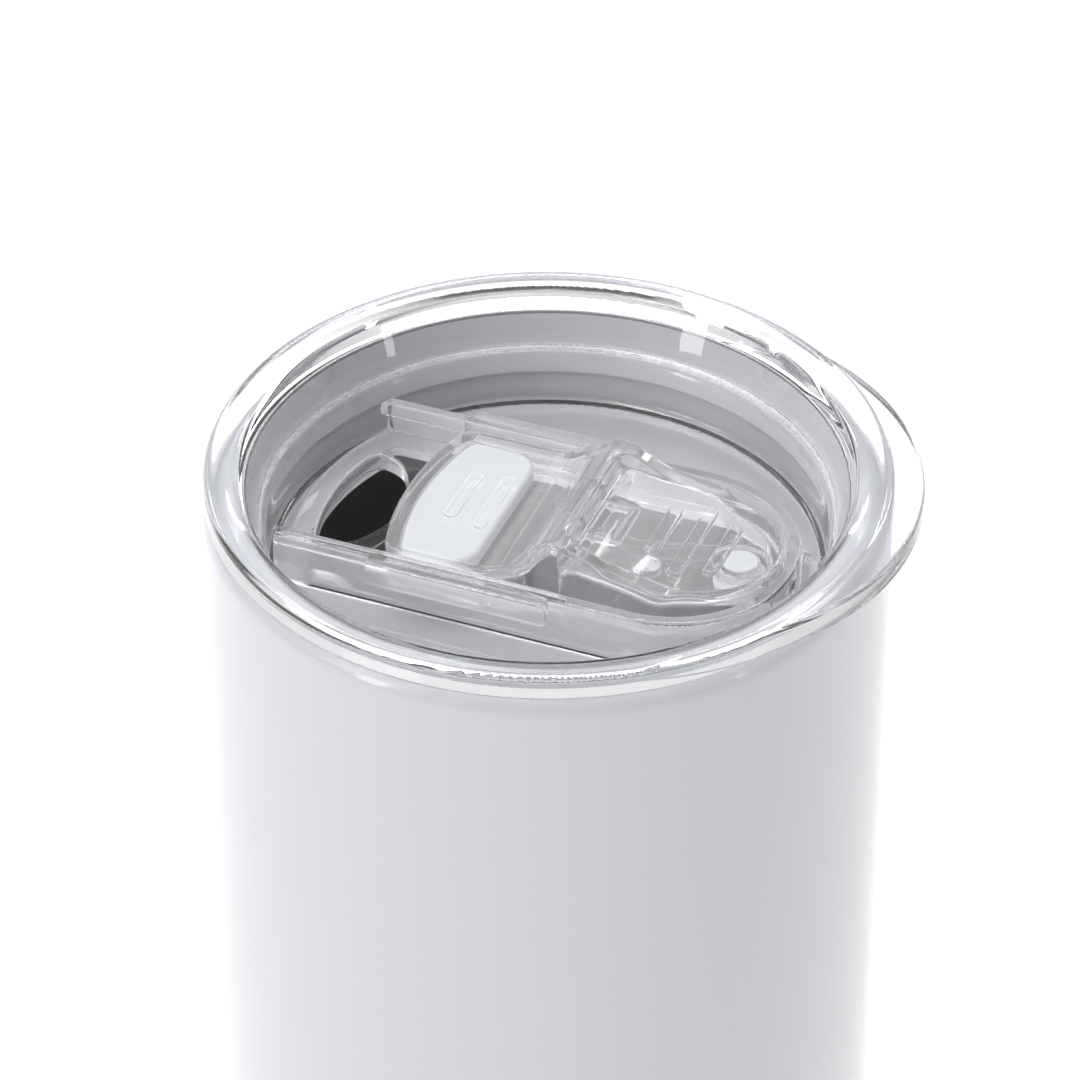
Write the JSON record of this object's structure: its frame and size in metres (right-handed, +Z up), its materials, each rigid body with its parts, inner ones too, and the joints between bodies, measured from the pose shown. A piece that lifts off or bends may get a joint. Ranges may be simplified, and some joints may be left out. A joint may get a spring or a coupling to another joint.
{
  "type": "insulated tumbler with slide lid",
  "caption": "Straight-sided double-wall tumbler with a clear press-in lid, a thumb tab and a sliding cover over the sip hole.",
  "frame": {"origin": "on the tumbler's axis, in the plane of the foot ring that it stands on", "axes": "+Z up along the axis, +X along the slide track, the way that the slider opens, +Y completing a right-handed set"},
  "size_m": [0.0772, 0.0742, 0.2062],
  "materials": {
    "coated_steel": "gloss white coating",
    "bare_steel": "brushed",
    "solder": "dull",
    "getter_powder": "matt pressed powder",
    "clear_plastic": "clear, moulded",
    "silicone": "translucent white silicone"
  },
  "bodies": {
    "vessel": {"outer_shell": "coated_steel", "inner_liner": "bare_steel", "outer_base": "coated_steel", "base_cover": "bare_steel", "vacuum_seal": "solder", "getter_clip": "bare_steel", "getter_pellet": "getter_powder"},
    "seal_ring": {"lid_gasket": "silicone"},
    "lid": {"lid_body": "clear_plastic"},
    "slider": {"slider": "clear_plastic", "slider_pad": "silicone", "vent_plug": "silicone"}
  },
  "joints": [
    {"name": "lid_lift", "type": "slide", "parent": "vessel", "child": "seal_ring", "axis": [0, 0, 1], "range_m": [0, 0.04]},
    {"name": "lid_turn", "type": "hinge", "parent": "seal_ring", "child": "lid", "pos_m": [0, 0, 0.1981], "axis": [0, 0, 1], "continuous": true},
    {"name": "slider_slide", "type": "slide", "parent": "lid", "child": "slider", "axis": [-1, 0, 0], "range_m": [0, 0.0105]}
  ]
}
